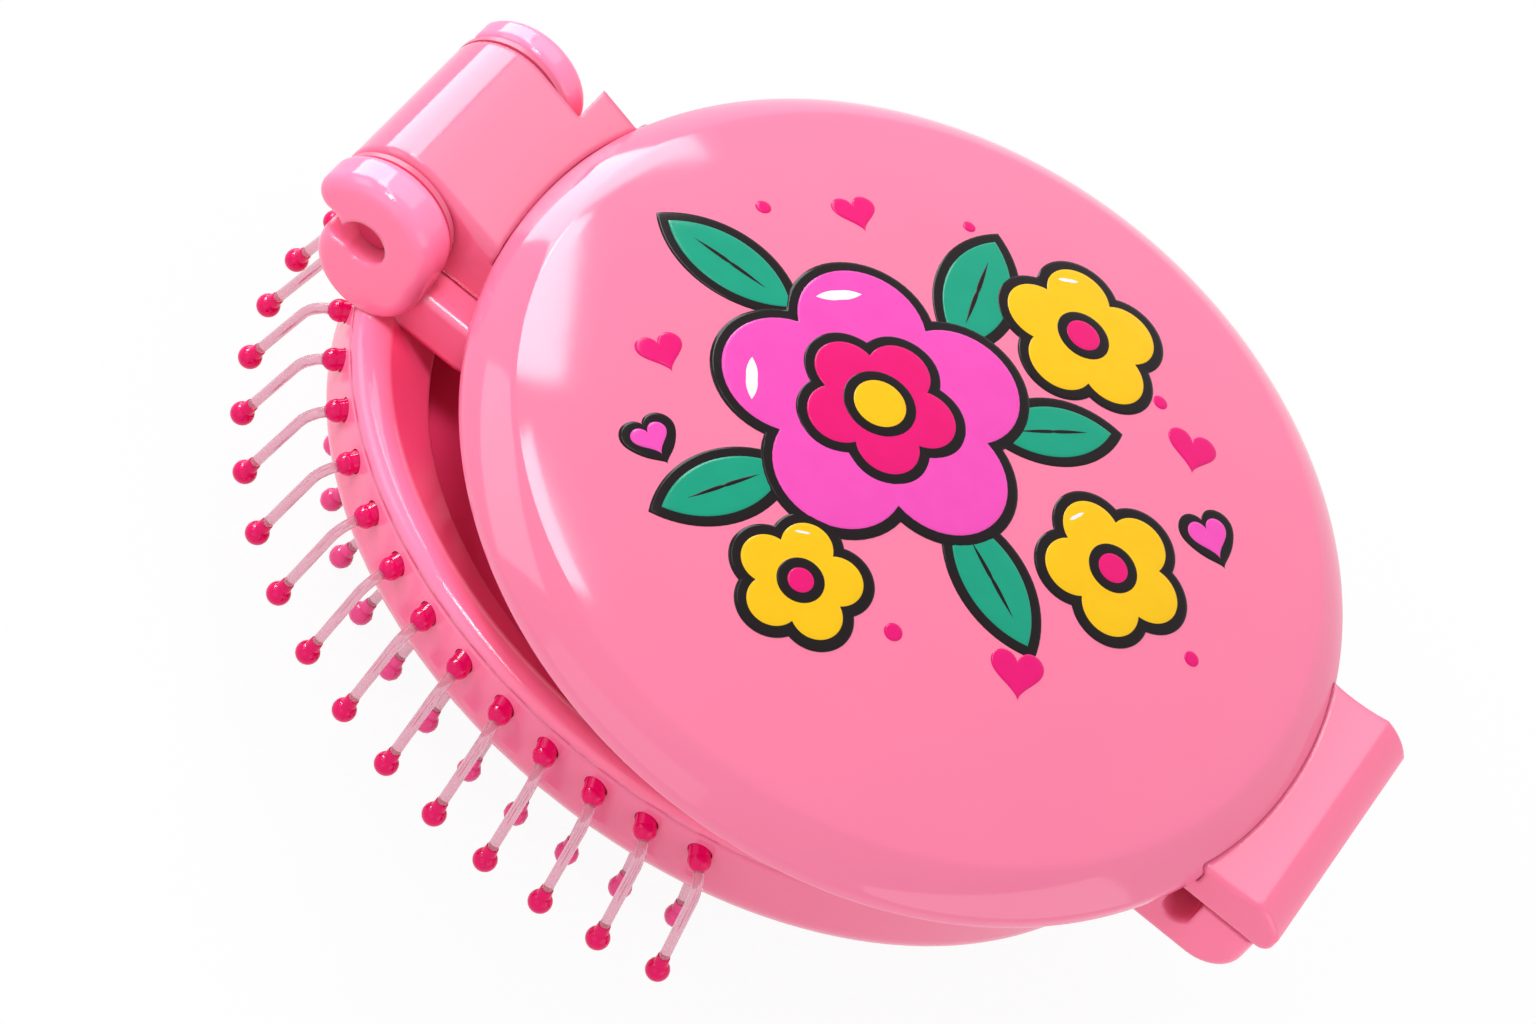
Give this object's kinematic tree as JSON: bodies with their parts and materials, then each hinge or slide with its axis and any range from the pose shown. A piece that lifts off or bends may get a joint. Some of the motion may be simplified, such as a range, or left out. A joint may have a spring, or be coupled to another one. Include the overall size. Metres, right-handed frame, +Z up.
{
  "type": "folding travel brush",
  "caption": "Folding hair brush: a round domed mirror lid hinges and latches over an oval tray whose skirt and underside carry clear ball-tipped bristles.",
  "frame": {"origin": "under the middle of the round lid, on the plane of the ball tips", "axes": "+X from the hinge to the latch, +Y along the hinge axis, +Z up through the lid"},
  "size_m": [0.0959, 0.0764, 0.0361],
  "materials": {
    "cover_pink": "moulded, polished",
    "frame_pink": "moulded, polished",
    "bowl_pink": "moulded, polished",
    "mirror_glass": "silvered glass",
    "foam_tape": "closed-cell foam",
    "pin_pink": "moulded, satin",
    "washer_pink": "moulded, satin",
    "clear_nylon": "clear, drawn",
    "magenta_root": "moulded, glossy",
    "magenta_tip": "dipped, glossy"
  },
  "bodies": {
    "base": {"brush_frame": "frame_pink", "bristle_bowl": "bowl_pink", "hinge_washers": "washer_pink", "bristle_pins_row_1": "clear_nylon", "root_collars_row_1": "magenta_root", "ball_tips_row_1": "magenta_tip", "bristle_pins_row_2": "clear_nylon", "root_collars_row_2": "magenta_root", "ball_tips_row_2": "magenta_tip", "bristle_pins_row_3": "clear_nylon", "root_collars_row_3": "magenta_root", "ball_tips_row_3": "magenta_tip", "bristle_pins_row_4": "clear_nylon", "root_collars_row_4": "magenta_root", "ball_tips_row_4": "magenta_tip", "bristle_pins_row_5": "clear_nylon", "root_collars_row_5": "magenta_root", "ball_tips_row_5": "magenta_tip", "bristle_pins_row_6": "clear_nylon", "root_collars_row_6": "magenta_root", "ball_tips_row_6": "magenta_tip"},
    "lid": {"lid_cover": "cover_pink", "lid_frame": "frame_pink", "mirror": "mirror_glass", "mirror_tape": "foam_tape", "mirror_bezel": "frame_pink", "hinge_pin": "pin_pink"}
  },
  "joints": [
    {"name": "lid_fold", "type": "hinge", "parent": "base", "child": "lid", "pos_m": [-0.0454, 0, 0.0268], "axis": [0, -1, 0], "range_deg": [0, 180]}
  ]
}
